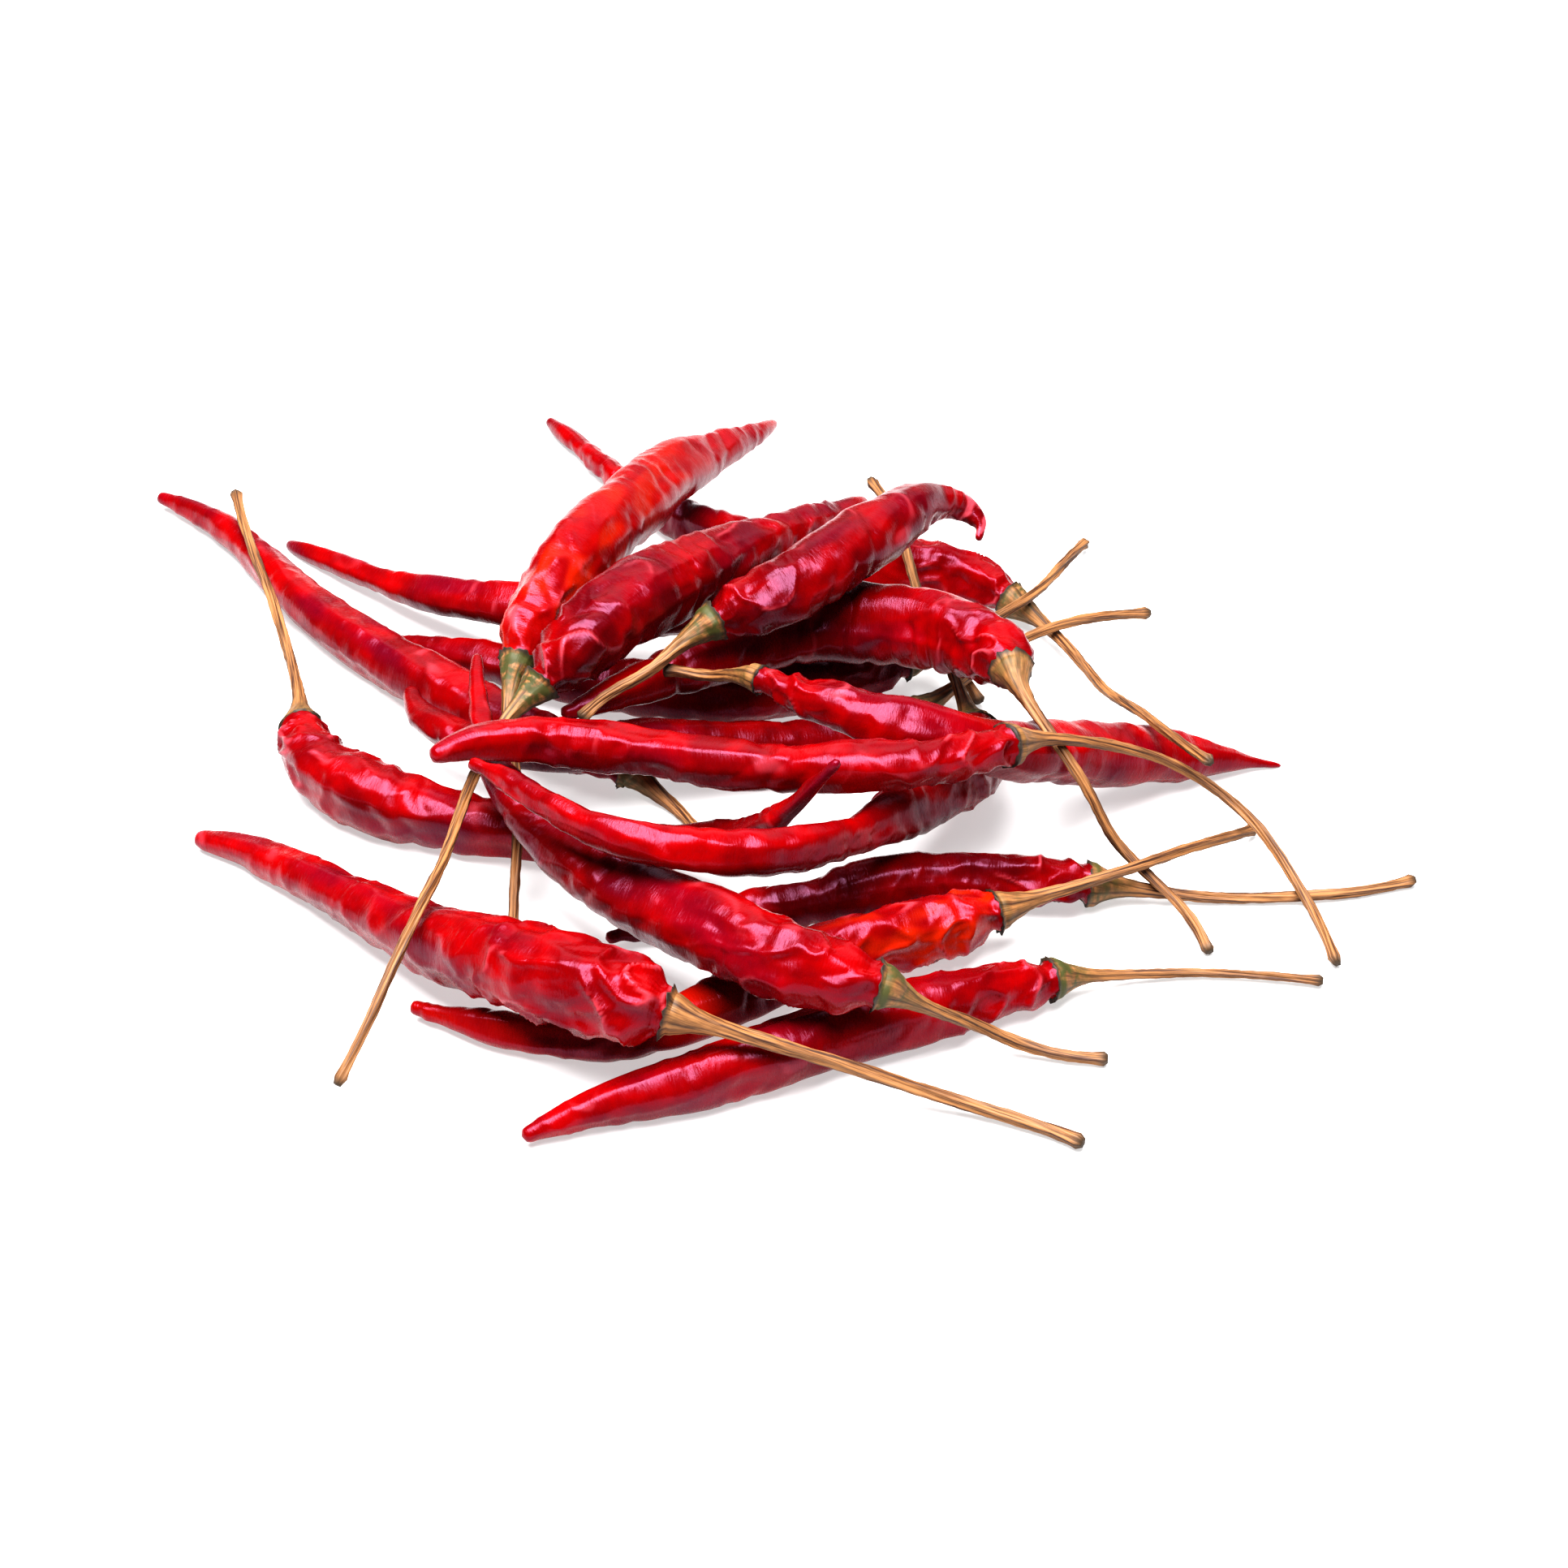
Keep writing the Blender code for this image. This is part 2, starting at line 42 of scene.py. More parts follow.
# How the heap lies, in laying order, lowest first. Lengths are millimetres and directions degrees,
# 0 along +X and 90 along +Y. "way", "high" and "width" are read at even stations from neck to tip.
# "rim" is the pod's width at the calyx, and "shownRim" a narrower one that only the looks have. The
# stalk leaves the neck straight back, and "stem" is its radius where it isn't the usual one.
# "look" and "stalkLook" change the skin and the stalk of that chilli alone.
chillies = {
    # under everything at the back, its tip out to the left
    "01": dict(skin="dark", neck=(18, 32.5), length=80, way=(204, 198, 173, 161, 155, 149),
               high=(4, 4.5, 4, 3, 1.5), width=(8.5, 9.5, 8.5, 8, 6, 2), rim=4.6,
               stalk=45.5, stalkWay=(403, 428, 425), stalkHigh=(6.5, 4.5, 1)),
    # along the back edge
    "02": dict(skin="red", neck=(33.5, 48), length=91, way=(137, 172, 155, 136, 123, 122),
               high=(3.5, 5, 3.5, 2.5, 1), width=(8.5, 10, 9, 7, 4.5, 3), rim=5,
               stalk=62.5, stalkWay=(286, 289, 297), stalkHigh=(3, 11, 16.5),
               look=dict(mauve=0.45, crumple=0.7)),
    # back left, leaning over the first
    "03": dict(skin="red", neck=(8, 34.5), length=94, way=(-181, -181, -203, -222, -225),
               high=(12.5, 13.5, 10.5, 5, 0.5), width=(8, 9.5, 8.5, 6.5, 4, 3), rim=4.6,
               stalk=24.5, stalkWay=(-17, -19, -59), stalkHigh=(9.5, 5.5, 1),
               look=dict(crumple=0.3, groove=0.12, mauve=0.45)),
    # right front, flat on the surface
    "04": dict(skin="dark", neck=(41, -16.5), length=65.5, way=(-176, -179, -166, -175, -159),
               high=(3.5, 4.5, 4, 3, 1.5), width=(8, 8.5, 8.5, 7.5, 5.5, 3), rim=5.8,
               stalk=44.5, stalkWay=(0, 6, 22), stalkHigh=(1, 1, 1),
               look=dict(mauve=0.1, crumple=0.7)),
    # front middle, orange toward its neck, partly its own colour and partly a painted glow of light through
    # the thin skin
    "05": dict(skin="orange", neck=(28, -24.5), length=83.5, way=(-161, -162, -142, -191, -207),
               high=(6, 4.5, 4, 3, 2), width=(10.5, 10.5, 9.2, 7.5, 5.5, 3.5), rim=6, shownRim=5,
               stalk=44.5, stalkWay=(26, 40, 48), stalkHigh=(7, 5.5, 1), stalkLook=dict(green=0.15),
               look=dict(orange=0.85, orangeAndGlowReach=0.45, crumple=0.8, neckCrumple=1.7, neckReach=0.3,
                         groove=0.45)),
    # nearest at the front
    "06": dict(skin="red", neck=(35, -36), length=73.5, way=(-156, -158, -154, -162, -156),
               high=(3.5, 4.5, 4.5, 3.5, 1.5), width=(8, 9.5, 9, 9, 6.5, 3.5), rim=5.4, stem=0.62,
               stalk=36.5, stalkWay=(12, -4, -9), stalkHigh=(1, 1, 1), stalkLook=dict(green=0.6),
               look=dict(crumple=0.35, groove=0.2)),
    # left, its tip hooking up in the middle of the heap
    "07": dict(skin="red", neck=(-67, 17), length=100.5, way=(-84, -32, -10, -18, -41, -7),
               high=(4.5, 5.5, 4, 4, 14.5, 30.5), width=(9.5, 11, 8, 6.5, 5, 2.5), rim=6, shownRim=5.4,
               stalk=55.5, stalkWay=(104, 109, 103), stalkHigh=(3.5, 6, 7.5), stalkLook=dict(green=0.3),
               look=dict(crumple=0.65, groove=0.4, mauve=0.5)),
    # far left, long and thin
    "08": dict(skin="red", neck=(-21.5, 7.5), length=102.5, way=(161, 139, 133, 122, 148),
               high=(3, 4.5, 3.5, 3, 2), width=(8, 9, 8.5, 7, 5.5, 3.5), rim=5,
               stalk=18.5, stalkWay=(318, 301, 308), stalkHigh=(1, 1, 1),
               look=dict(crumple=0.3, groove=0.15, mauve=0.6)),
    # across the middle, its hooked tip on the left
    "09": dict(skin="dark", neck=(18.5, 21.5), length=83, way=(-138, -163, -171, -197, -266),
               high=(3, 5, 10, 9.5, 7.5), width=(7.5, 8.5, 8, 7, 6, 4), rim=4.6,
               stalk=44, stalkWay=(46, 34, 17), stalkHigh=(4.5, 3.5, 1)),
    # up and over the left side, bright orange red
    "10": dict(skin="orange", neck=(-36.5, 13.5), length=87.5, way=(75, 64, 70, 59, 66),
               high=(18, 22, 18.5, 13, 6.5), width=(9, 11, 10.5, 9.5, 6, 2.5), rim=4.8, shownRim=4.4,
               stalk=42, stalkWay=(280, 268, 271), stalkHigh=(12, 7, 1), stalkLook=dict(green=0.8),
               look=dict(orange=0.6, orangeAndGlowReach=0.6, groove=0.3, longFold=0.2)),
    # the widest, front left
    "11": dict(skin="red", neck=(-14, -53.5), length=84.5, way=(166, 144, 134, 137, 153),
               high=(12.5, 12, 7, 4, 1.5), width=(14, 14, 11, 8.5, 6, 4.5), rim=7.4, shownRim=5.4,
               stem=0.92,
               stalk=55, stalkWay=(359, 347, 326), stalkHigh=(7.5, 1.5, 1), stalkLook=dict(green=0.05),
               look=dict(neckCrumple=2.1, neckReach=0.34, neckFold=7, foldSeed=5, crumple=0.6,
                         groove=0.25, mauve=0.4)),
    # the middle, curving up to the back
    "12": dict(skin="red", neck=(12.5, -50), length=94, way=(175, 140, 139, 126, 106, 89),
               high=(14.5, 14, 12, 12, 13.5, 15), width=(10.5, 11.8, 10, 7.8, 4.5, 2.5), rim=6.2,
               shownRim=5.8, stem=0.8,
               stalk=34, stalkWay=(388, 349, 356), stalkHigh=(7.5, 1.5, 1), stalkLook=dict(green=0.5),
               look=dict(crumple=0.55, mauve=0.6)),
    # right of the middle, bent over at its neck
    "13": dict(skin="red", neck=(30.5, 8), length=77.5, way=(97, 139, 178, 215, 216, 209),
               high=(21.5, 17, 15.5, 16, 17, 17), width=(10, 11.5, 11.5, 10, 7, 3.5), rim=5.6,
               shownRim=5.2,
               stalk=51.5, stalkWay=(311, 326, 284), stalkHigh=(18, 5.5, 1), stalkLook=dict(green=0.25),
               look=dict(crumple=0.3, groove=0.6, grooveStep=4.6)),
    # down to the right
    "14": dict(skin="red", neck=(-3.5, 1.5), length=84.5, way=(-37, -7, 38, 22, 7),
               high=(25, 23, 14.5, 5.5, 0), width=(6, 8, 7.5, 9.5, 8, 1), rim=3.8,
               stalk=17, stalkWay=(128, 157, 186), stalkHigh=(22.5, 20, 20.5), stalkLook=dict(green=0.3),
               look=dict(crumple=0.6)),
    # top left, its stalk down the front
    "15": dict(skin="dark", neck=(-32.5, 2.5), length=68.5, way=(44, 52, 48, 46, 56),
               high=(22, 25.5, 23.5, 21, 17.5), width=(10, 12, 11.5, 9.5, 7, 3), rim=5.6, shownRim=4.8,
               stalk=69.5, stalkWay=(259, 251, 240), stalkHigh=(14.5, 15, 4.5), stalkLook=dict(green=0.8),
               look=dict(crumple=0.75, crumpleAround=10, crumpleAlong=11, groove=0.45)),
    # curled like a letter U round the middle
    "16": dict(skin="red", neck=(26.5, 15), length=106, way=(-79, -121, -119, -144, -183, -224, -219),
               high=(4.5, 10.5, 16, 20.5, 21.5, 20.5), width=(9.5, 11, 6, 6.5, 5, 3.5), rim=5.8,
               stalk=54.5, stalkWay=(109, 98, 117), stalkHigh=(8, 10.5, 11.5),
               look=dict(crumple=0.55, groove=0.3, pucker=0.3)),
    # top, its pale tip hooked back
    "17": dict(skin="dark", neck=(-10, 14), length=54, way=(33, 18, 42, 50, 52, 54, 10, -120),
               high=(24, 26.5, 27, 26, 21), width=(9, 10, 10.2, 10, 9.8, 8.2, 5, 1.8), rim=5.6,
               shownRim=5,
               stalk=22.5, stalkWay=(225, 199, 226), stalkHigh=(23, 20.5, 17.5),
               stalkLook=dict(green=0.6),
               look=dict(crumple=0.35, groove=0.45, paleTip=1.8, mauve=0.4, foldSeed=3)),
    # on top of all, straight across the front
    "18": dict(skin="red", neck=(29.5, -11.5), length=80, way=(-139, -183, -196, -190, -140),
               high=(24.5, 24.5, 21.5, 21, 22), width=(7.2, 7.5, 7, 7, 7.5, 4), rim=5.8,
               stalk=68.5, stalkWay=(15, -57, -79), stalkHigh=(14.5, 4.5, 1), stalkLook=dict(green=0.12),
               look=dict(crumple=0.55, groove=0.3, pucker=0.3)),
}

heap = dict(
    centre=(-4.6, 17.2), gap=0.3, restFlat=0.2,          # clearance and flat spots underneath, mm
    rounds=260, lookAgain=12, softening=4,               # of easing the chillies apart
    roundness=1.09, shoulderLength=2.2, shoulderRoom=0.35, tipClosing=24,
    podSteps=20, stalkSteps=13,                          # stretches of a middle line
)


def eased(stations, share):
    stations = np.asarray(stations, float)  # a smooth curve through even stations, read at shares 0 to 1
    ends = 2 * stations[0] - stations[1], 2 * stations[-1] - stations[-2]
    padded = np.concatenate([[ends[0]], stations, [ends[1]]])
    along = np.clip(np.asarray(share, float), 0, 1) * (len(stations) - 1)
    first = np.minimum(along.astype(int), len(stations) - 2)
    part = along - first
    if stations.ndim > 1:
        part = part[:, None]
    a, b, c, d = (padded[first + k] for k in range(4))
    return b + 0.5 * part * (c - a + part * (2 * a - 5 * b + 4 * c - d + part * (3 * (b - c) + d - a)))


def podRadius(chilli, share):
    distance = np.asarray(share) * chilli["length"]
    closing = np.sqrt(1 - 0.9 * np.asarray(share) ** heap["tipClosing"])
    shoulder = 1 - np.exp(-(distance / heap["shoulderLength"]) ** 1.3)
    width = chilli["rim"] + (heap["roundness"] * eased(chilli["width"], share) - chilli["rim"]) * shoulder
    return 0.5 * width * closing


# A stem that widens to a bell at the calyx and swells a little at its cut end, mm
stalkShape = dict(radius=0.75, calyx=3.4, flare=1.04, knob=0.25, knobLength=1.5)


def stalkRadius(chilli, share):
    distance = np.asarray(share) * chilli["stalk"]
    rim = 0.5 * chilli["rim"] * stalkShape["flare"]
    stem = chilli.get("stem", stalkShape["radius"])
    bell = (rim - stem) * np.exp(-(distance / stalkShape["calyx"]) ** 1.4)
    knob = stalkShape["knob"] * np.exp(-((chilli["stalk"] - distance) / stalkShape["knobLength"]) ** 2)
    return stem + bell + knob


def walk(start, ways, heights, length):
    # Steps of even length along the given directions, at the given heights
    step = length / (len(ways) - 1)
    rise = np.diff(heights)
    flat = np.sqrt(np.maximum(step ** 2 - rise ** 2, (0.25 * step) ** 2))
    way = np.radians(0.5 * (ways[1:] + ways[:-1]))
    points = np.zeros((len(ways), 3))
    points[1:, 0] = np.cumsum(flat * np.cos(way))
    points[1:, 1] = np.cumsum(flat * np.sin(way))
    points[:, :2] += np.subtract(start, heap["centre"])
    points[:, 2] = heights
    return points


def middleLine(chilli):
    # From the stalk's cut end to the pod's tip, with the radius at each point
    podShare = np.linspace(0, 1, heap["podSteps"] + 1)
    stalkShare = np.linspace(0, 1, heap["stalkSteps"] + 1)
    pod = walk(chilli["neck"], eased(chilli["way"], podShare), eased(chilli["high"], podShare),
               chilli["length"])
    back = chilli["way"][0] + 180
    stalk = walk(chilli["neck"], eased([back, *chilli["stalkWay"]], stalkShare),
                 eased([chilli["high"][0], *chilli["stalkHigh"]], stalkShare), chilli["stalk"])
    line = np.vstack([stalk[:0:-1], pod])
    for _ in range(heap["softening"]):
        line[1:-1, 2] = 0.25 * (line[:-2, 2] + 2 * line[1:-1, 2] + line[2:, 2])
    radii = np.append(stalkRadius(chilli, stalkShare[:0:-1]), podRadius(chilli, podShare))
    radii[heap["stalkSteps"]] += 0.5 * heap["shoulderRoom"] * (chilli["width"][0] - chilli["rim"])
    return line, radii


def nearest(a0, a1, b0, b1):
    u, v, w = a1 - a0, b1 - b0, a0 - b0  # where two stretches come closest
    uu, uv, vv = (np.sum(p * q, axis=1) for p, q in ((u, u), (u, v), (v, v)))
    uw, vw = np.sum(u * w, axis=1), np.sum(v * w, axis=1)
    across = np.maximum(uu * vv - uv * uv, 1e-9)
    onA = np.clip((uv * vw - vv * uw) / across, 0, 1)
    onB = np.clip((uv * onA + vw) / vv, 0, 1)
    return np.clip((uv * onB - uw) / uu, 0, 1), onB


def closeStretches(place, radius, first, second):
    # Leaves the pairs of stretches that are near enough to touch within the next few rounds
    middle = 0.5 * (place[first] + place[first + 1] - place[second] - place[second + 1])
    reach = 2.0
    for k in (first, second):
        half = 0.5 * np.linalg.norm(place[k + 1] - place[k], axis=1)
        reach = reach + half + np.maximum(radius[k], radius[k + 1])
    near = np.sum(middle ** 2, axis=1) < reach ** 2
    return first[near], second[near]


def easeApart(lines, radii):
    # Pushes neighbouring chillies apart until none touch, keeping the bends smooth
    owner = np.repeat(np.arange(len(lines)), [len(line) for line in lines])
    drawn = np.vstack(lines)
    place = drawn.copy()
    radius = np.concatenate(radii)
    stretch = np.flatnonzero(owner[1:] == owner[:-1])
    first, second = (stretch[k] for k in np.triu_indices(len(stretch), 1))
    apart = owner[first] != owner[second]
    first, second = first[apart], second[apart]
    for turn in range(heap["rounds"]):
        if turn % heap["lookAgain"] == 0:
            a, b = closeStretches(place, radius, first, second)
        onA, onB = nearest(place[a], place[a + 1], place[b], place[b + 1])
        atA = place[a] + onA[:, None] * (place[a + 1] - place[a])
        atB = place[b] + onB[:, None] * (place[b + 1] - place[b])
        reachA = radius[a] + onA * (radius[a + 1] - radius[a])
        reachB = radius[b] + onB * (radius[b + 1] - radius[b])
        between = atA - atB
        distance = np.maximum(np.linalg.norm(between, axis=1), 1e-6)
        overlap = np.maximum(reachA + reachB + heap["gap"] - distance, 0)
        push = (0.5 * overlap / distance)[:, None] * between
        move = np.zeros_like(place)
        load = np.zeros(len(place))
        for point, weight, shift in ((a, 1 - onA, push), (a + 1, onA, push),
                                     (b, 1 - onB, -push), (b + 1, onB, -push)):
            np.add.at(move, point, weight[:, None] * shift)
            np.add.at(load, point, weight * (overlap > 0))
        place += 1.2 * move / np.maximum(load, 1)[:, None]
        place[:, 2] = np.maximum(place[:, 2], radius - heap["restFlat"])
        stiff = 0.5 * (1 - turn / heap["rounds"])
        for k in range(len(lines)):
            own = owner == k
            bend = place[own] - drawn[own]
            even = np.vstack([bend[1], 0.5 * (bend[:-2] + bend[2:]), bend[-2]])
            place[own] += stiff * (even - bend)
    return [place[owner == k] for k in range(len(lines))]


# Skin of a dried chilli: it shrinks into a few lengthwise folds, crumples along curving creases,
# most of all behind the calyx, and puckers in grooves across the pod. Depths and sizes are mm,
# and a size of three numbers is round the pod, round it and along it.
skinShape = dict(
    seed=3, sides=76, steps=230, swell=0.12,             # the swell makes up for the folds' depth
    folds=3, foldDepth=0.09, foldTwist=1.6,              # broad lengthwise folds, share of the radius
    dents=6, dentDepth=0.14, dentLength=0.05, dentWidth=0.25,
    flats=4, flatness=0.15, flatsWander=1.1,             # long flats with a curving ridge between two
    flatsSize=(16, 16, 22),
    foldSeed=0, foldEdge=0.045,                          # how rounded a crease is, share of its fold
    neckCrumple=1.45, neckReach=0.2, neckFold=6.4, neckSlope=0.12,
    largeFolds=0.75, smallFolds=0.18,                    # their shares of the neck's depth
    crumple=0.5, crumpleAround=13, crumpleAlong=10, crumpleSlope=0.2, crumplePatch=15,
    longFold=0.3, longAround=7.5, longAlong=34, longSlope=0.16,
    groove=0.34, grooveStep=5.2, slant=0.35, grooveSwing=0.9, grooveFloor=0.12, groovePatch=9,
    pucker=0.24, puckerAround=8, puckerAlong=3.4, puckerSlope=0.2, puckerPatch=10,
    fine=0.015, fineAround=2.6, fineAlong=0.9,
)

# Where the skin's colour changes, each tone 0 to 1
skinTint = dict(
    neckLine=0.018, bodyLine=0.014, bodyShare=0.45, worn=5,   # pale lines along creases, worn in places
    paleTip=0.0, tipStart=0.78, tipStreaks=(3, 3, 1.2),
    # orange near the neck: the pod's own colour plus a painted glow of light through the thin skin there
    orange=0.0, orangeAndGlowReach=0.2, orangePatch=(3.2, 3.2, 5),
    mauve=0.3, mauvePatch=(6, 6, 12),
)

noise.seed_set(skinShape["seed"])                        # else noise_vector differs from run to run


def noiseAt(places, seed):
    shifted = (places + 31.7 * seed).tolist()
    return np.array([noise.noise(p) for p in shifted])


def foldsAt(places, seed):
    # 0 along curving lines, rising on both sides of them: a sharp crease between two hollows
    bent = np.array([noise.noise_vector(p) for p in (0.7 * places + 11.3 * seed).tolist()])
    return np.hypot(noiseAt(places + 0.5 * bent, seed), skinShape["foldEdge"])


def hollow(folds, slope):
    return 1 - np.exp(-folds / slope)                    # 0 on the crease, 1 in the hollow beside it


def onCrease(folds, wide):
    return np.exp(-((folds - skinShape["foldEdge"]) / wide) ** 2)


def smooth(low, high, value):
    part = np.clip((value - low) / (high - low), 0, 1)
    return part * part * (3 - 2 * part)


def foldsAndDents(number, share, angle):
    # The share of the round outline that broad folds and dents leave
    chance = np.random.default_rng(number)
    turned = angle - chance.uniform(0, 2 * np.pi) - skinShape["foldTwist"] * chance.uniform(-1, 1) * share
    ends = np.clip(share / 0.15, 0, 1) * np.clip((1 - share) / 0.1, 0, 1)
    keep = 1 - skinShape["foldDepth"] * ends * (0.5 - 0.5 * np.cos(skinShape["folds"] * turned)) ** 2
    for dent in range(skinShape["dents"]):
        middle = (dent + chance.uniform(0.2, 0.8)) / skinShape["dents"]
        side = chance.uniform(0, 2 * np.pi)
        roundIt = 1 - np.cos(angle - side)
        keep -= skinShape["dentDepth"] * chance.uniform(0.3, 1) * ends * np.exp(
            -((share - middle) / skinShape["dentLength"]) ** 2 - roundIt / skinShape["dentWidth"])
    return keep


def longFlats(look, number, angle, place):
    # The share of the radius that a flat side leaves: 1 on the ridge between two
    wander = look["flatsWander"] * noiseAt(place / look["flatsSize"], number + 0.8)
    turned = (angle + wander + number) * look["flats"] / (2 * np.pi)
    corner = 2 * np.pi / look["flats"] * (turned - np.floor(turned) - 0.5)
    return np.cos(np.pi / look["flats"]) / np.cos(corner)


def creases(look, number, place):
    # The fields of folds of each size, 0 on their creases
    neck, folding = look["neckFold"], number + look["foldSeed"]
    around, step = look["crumpleAround"], look["crumpleAlong"]
    return dict(
        neck=foldsAt(place / (neck, neck, 0.85 * neck), folding),
        small=foldsAt(place / (0.55 * neck, 0.55 * neck, 0.6 * neck), folding + 0.4),
        body=foldsAt(place / (around, around, step), number + 0.5),
        long=foldsAt(place / (look["longAround"], look["longAround"], look["longAlong"]), number + 0.15),
        pucker=foldsAt(place / (look["puckerAround"], look["puckerAround"], look["puckerAlong"]),
                       number + 0.35),
    )


def grooves(look, number, share, angle, place, swing):
    # Rings that run slanting across the pod and come and go along it
    phase = place[:, 2] / look["grooveStep"] + look["slant"] * np.sin(angle + number)
    phase = phase + look["grooveSwing"] * swing
    here = smooth(-0.25, 0.2, noiseAt(place / look["groovePatch"], number + 0.9)) * smooth(1, 0.8, share)
    return (1 - np.hypot(np.sin(np.pi * phase), look["grooveFloor"])) * here


def skinTones(look, number, share, place, folds, patches, nearNeck, swing):
    # Pale worn lines on the creases, orange near the neck and mauve patches on the body. The orange is partly
    # the pod's own colour and partly a painted glow of light shining through the thin skin.
    crease = onCrease(folds["neck"], look["neckLine"]) * nearNeck
    crease += look["bodyShare"] * onCrease(folds["body"], look["bodyLine"]) * patches * (1 - nearNeck)
    crease *= smooth(0, 0.3, noiseAt(place / look["worn"], number + 0.2))
    streaks = smooth(-0.1, 0.35, noiseAt(place / look["tipStreaks"], number + 0.25))
    crease += look["paleTip"] * smooth(look["tipStart"], 0.95, share) * streaks
    orange = look["orange"] * np.exp(-(share / look["orangeAndGlowReach"]) ** 2)
    spots = noiseAt(place / look["orangePatch"], number + 0.45)
    orange = orange * smooth(-0.15, 0.45, spots + 0.5 * swing)
    mauve = look["mauve"] * smooth(0.05, 0.45, noiseAt(place / look["mauvePatch"], number + 0.6))
    mauve = mauve * (1 - nearNeck)
    return np.column_stack([np.clip(tone, 0, 1) for tone in (crease, orange, mauve)])


def driedSkin(number, chilli, share, angle):
    # The radius at each vertex, its place on the round pod in mm, and its tones
    look = {**skinShape, **skinTint, **chilli.get("look", {})}
    full = podRadius(chilli, share)
    place = np.column_stack([full * np.cos(angle), full * np.sin(angle), share * chilli["length"]])
    ends = smooth(0, 0.02, share) * smooth(1, 0.97, share)
    nearNeck = np.exp(-(share / look["neckReach"]) ** 2)
    patches = smooth(-0.3, 0.3, noiseAt(place / look["crumplePatch"], number + 0.3))
    swing = noiseAt(place / look["groovePatch"], number + 0.7)
    folds = creases(look, number, place)
    radius = full * foldsAndDents(number, share, angle)
    radius *= 1 - look["flatness"] * ends * (1 - longFlats(look, number, angle, place))

    depth = look["neckCrumple"] * nearNeck * (look["largeFolds"] * hollow(folds["neck"], look["neckSlope"])
                                             + look["smallFolds"] * hollow(folds["small"], look["neckSlope"]))
    depth += look["crumple"] * patches * (1 - nearNeck) * hollow(folds["body"], look["crumpleSlope"])
    depth += look["longFold"] * hollow(folds["long"], look["longSlope"])
    depth += look["groove"] * grooves(look, number, share, angle, place, swing)
    puckerHere = smooth(-0.35, 0.3, noiseAt(place / look["puckerPatch"], number + 0.65))
    depth += look["pucker"] * puckerHere * hollow(folds["pucker"], look["puckerSlope"])
    fineNoise = noiseAt(place / (look["fineAround"], look["fineAround"], look["fineAlong"]), number + 0.1)
    depth += look["fine"] * (fineNoise + 0.5)
    radius = radius + ends * (look["swell"] - np.clip(depth, 0, 0.45 * full))
    return radius, place, skinTones(look, number, share, place, folds, patches, nearNeck, swing)


def tube(sides, steps):
    # A closed upright tube of radius 1 and height 1, cut into even rings
    shape = bmesh.new()
    bmesh.ops.create_cone(shape, cap_ends=True, segments=sides, radius1=1, radius2=1, depth=1)
    bmesh.ops.translate(shape, verts=shape.verts, vec=(0, 0, 0.5))
    longEdges = [e for e in shape.edges if abs(e.verts[0].co.z - e.verts[1].co.z) > 0.5]
    bmesh.ops.subdivide_edges(shape, edges=longEdges, cuts=steps - 1, use_grid_fill=True)
    return shape


def bendAlong(line, along, facing, angle, radius):
    # Places points round a middle line, each at its own distance from it
    steps = len(line) - 1
    ahead = eased(line, facing + 0.02 / steps) - eased(line, facing - 0.02 / steps)
    ahead /= np.linalg.norm(ahead, axis=1)[:, None]
    across = np.cross((0, 0, 1), ahead)
    across /= np.linalg.norm(across, axis=1)[:, None]
    upward = np.cross(ahead, across)
    ring = np.cos(angle)[:, None] * across + np.sin(angle)[:, None] * upward
    placed = eased(line, along) + radius[:, None] * ring
    placed[:, 2] = np.maximum(placed[:, 2], 0)
    return placed


def keepAttribute(mesh, name, values):
    mesh.attributes.new(name, "FLOAT_VECTOR", "POINT").data.foreach_set("vector", np.ravel(values))


def readTube(shape):
    # How far along the tube each vertex is, 0 to 1, and its angle round it
    corners = np.array([v.co for v in shape.verts])
    return np.clip(corners[:, 2], 0, 1), np.arctan2(corners[:, 1], corners[:, 0])


def finishPiece(name, shape, placed, attributes, material, node):
    for corner, place in zip(shape.verts, (placed * mm).tolist()):
        corner.co = place
    bmesh.ops.recalc_face_normals(shape, faces=shape.faces)
    mesh = bpy.data.meshes.new(name)
    shape.to_mesh(mesh)
    shape.free()
    for key, values in attributes.items():
        keepAttribute(mesh, key, values)
    mesh.shade_smooth()
    mesh.materials.append(material)
    piece = bpy.data.objects.new(name, mesh)
    bpy.context.scene.collection.objects.link(piece)
    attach(piece, "root")
    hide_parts(node)
    return piece


def makePod(number, chilli, line, material):
    shape = tube(skinShape["sides"], skinShape["steps"])
    share, angle = readTube(shape)
    steps, neck = len(line) - 1, heap["stalkSteps"]
    inset = 0.15 / chilli["length"]                      # the pod starts just clear of its calyx
    along = (neck + heap["podSteps"] * (inset + (1 - inset) * share)) / steps
    facing = np.where(share == 0, neck / steps, along)
    radius, place, tone = driedSkin(int(number), chilli, share, angle)
    radius *= np.where(share > 0.9999, 0.3, 1)
    placed = bendAlong(line, along, facing, angle, radius)
    finishPiece("chilliPod" + number, shape, placed, dict(alongSkin=place, skinTone=tone),
                material, "pod_" + number)


stalkLook = dict(
    sides=30, steps=118, crowding=1.7,                   # the rings crowd towards the calyx
    hemRings=8, overlap=0.8, teeth=7,                    # the calyx's ragged hem over the shoulder, mm
    rimThickness=0.14,
    ribs=5, ribDepth=0.24, ribTwist=0.05, calyxRibs=9, calyxDepth=0.16, calyxReach=4.5,
    roughness=0.13, taper=0.28, taperLength=11,          # thicker towards the calyx, mm
    endLength=1.6, green=0.45,
)


